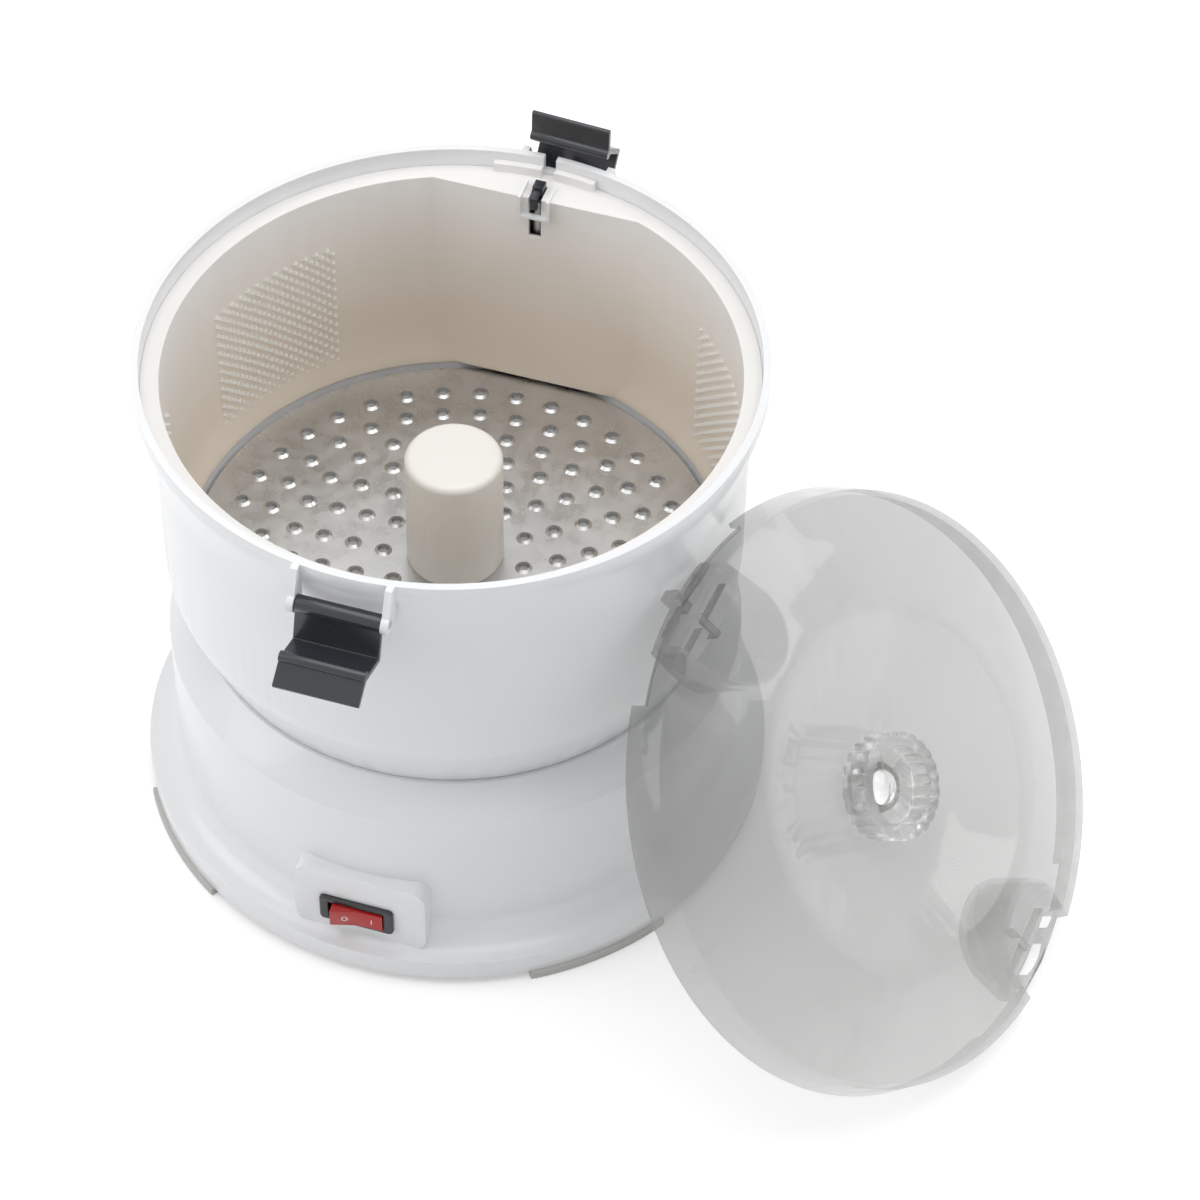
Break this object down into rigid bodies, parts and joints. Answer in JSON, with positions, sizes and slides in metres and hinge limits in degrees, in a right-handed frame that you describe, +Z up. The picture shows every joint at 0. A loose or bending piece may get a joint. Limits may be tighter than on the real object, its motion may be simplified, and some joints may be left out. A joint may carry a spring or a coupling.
{
  "type": "electric potato peeler",
  "caption": "Countertop potato peeler: flared motor base with rocker switch, lift-off drum with a spinning grater disc, two clip latches and a clear lid leaning beside it.",
  "frame": {"origin": "on the floor plane, on the drive axis of base, drum and disc", "axes": "+Z up along the drive axis; -Y towards the front, where the rocker switch is; +X towards the side where the lid leans"},
  "size_m": [0.3996, 0.3052, 0.2438],
  "materials": {
    "white": "glossy",
    "liner_cream": "satin",
    "cover_grey": "satin",
    "pad_rubber": "matte",
    "screw_steel": "satin",
    "motor_can": "satin",
    "motor_iron": "matte",
    "bearing_bronze": "satin",
    "seal_rubber": "matte",
    "black_plastic": "satin",
    "terminal_brass": "bright",
    "gear_nylon": "satin",
    "rocker_red": "glossy",
    "button_black": "satin",
    "latch_black": "satin",
    "disc_steel": "satin",
    "lid_clear": "glossy",
    "clip_white": "satin"
  },
  "bodies": {
    "base": {"base_shell": "white", "base_bottom_cover": "cover_grey", "foot_pads": "pad_rubber", "cover_screws": "screw_steel", "gearbox_plate": "cover_grey", "plate_screws": "screw_steel", "motor_housing": "motor_can", "motor_stator": "motor_iron", "motor_screws": "screw_steel", "motor_bearings": "bearing_bronze", "intermediate_axle": "screw_steel", "spindle_bush_lower": "bearing_bronze", "spindle_bush_upper": "bearing_bronze", "spindle_seal": "seal_rubber", "switch_housing": "black_plastic", "switch_terminals": "terminal_brass", "interlock_microswitch": "black_plastic", "microswitch_screws": "screw_steel", "cord_gland": "black_plastic"},
    "rotor": {"motor_shaft": "screw_steel", "motor_rotor": "motor_iron", "motor_pinion": "terminal_brass", "cooling_fan": "black_plastic"},
    "middle_wheel": {"intermediate_gear": "gear_nylon"},
    "spindle": {"drive_gear": "gear_nylon", "drive_spindle": "screw_steel", "spindle_circlip": "screw_steel"},
    "rocker_key": {"rocker": "rocker_red"},
    "switch_plunger": {"microswitch_button": "button_black"},
    "drum": {"bowl_shell": "white", "inner_liner": "liner_cream", "sleeve_bush": "bearing_bronze", "front_latch_pin": "screw_steel", "rear_latch_pin": "screw_steel", "interlock_guide": "white"},
    "front_clip": {"front_latch": "latch_black"},
    "rear_clip": {"rear_latch": "latch_black"},
    "safety_rod": {"interlock_rod": "button_black", "interlock_spring": "screw_steel"},
    "disc": {"disc_carrier": "cover_grey", "grater_disc": "disc_steel", "hub_cap": "white"},
    "lid": {"lid": "lid_clear", "lid_knob": "lid_clear", "lid_knob_clip": "clip_white"}
  },
  "joints": [
    {"name": "rotor_spin", "type": "hinge", "parent": "base", "child": "rotor", "pos_m": [0.0625, 0.03248, 0.038], "axis": [0, 0, 1], "continuous": true},
    {"name": "middle_spin", "type": "hinge", "parent": "base", "child": "middle_wheel", "pos_m": [0.04375, 0, 0.07], "axis": [0, 0, 1], "continuous": true},
    {"name": "spindle_spin", "type": "hinge", "parent": "base", "child": "spindle", "pos_m": [0, 0, 0.08], "axis": [0, 0, 1], "continuous": true},
    {"name": "disc_spin", "type": "hinge", "parent": "drum", "child": "disc", "pos_m": [0, 0, 0.115], "axis": [0, 0, 1], "continuous": true},
    {"name": "drum_lift", "type": "slide", "parent": "base", "child": "drum", "axis": [0, 0, 1], "range_m": [0, 0.12]},
    {"name": "lid_away", "type": "slide", "parent": "base", "child": "lid", "axis": [0.9627, -0.2706, 0], "range_m": [0, 0.06]},
    {"name": "rocker_tilt", "type": "hinge", "parent": "base", "child": "rocker_key", "pos_m": [-0.0013, -0.1194, 0.0279], "axis": [0, 0, 1], "range_deg": [-18, 0]},
    {"name": "front_clip_swing", "type": "hinge", "parent": "drum", "child": "front_clip", "pos_m": [0, -0.1265, 0.2118], "axis": [1, 0, 0], "range_deg": [-163, 0]},
    {"name": "rear_clip_swing", "type": "hinge", "parent": "drum", "child": "rear_clip", "pos_m": [0.00838, 0.12622, 0.2118], "axis": [-0.9978, 0.0663, 0], "range_deg": [-38, 125]},
    {"name": "rod_press", "type": "slide", "parent": "drum", "child": "safety_rod", "axis": [0, 0, 1], "range_m": [-0.003, 0], "stiffness_N_per_m": 400, "springref_m": 0.001, "deforming": ["interlock_spring"]},
    {"name": "plunger_press", "type": "slide", "parent": "base", "child": "switch_plunger", "axis": [0, 0, 1], "range_m": [-0.003, 0]}
  ],
  "couplings": [
    {"joint": "disc_spin", "follows": "spindle_spin", "ratio": 1},
    {"joint": "middle_spin", "follows": "spindle_spin", "ratio": -4},
    {"joint": "rotor_spin", "follows": "spindle_spin", "ratio": 16},
    {"joint": "plunger_press", "follows": "rod_press", "ratio": 1}
  ]
}
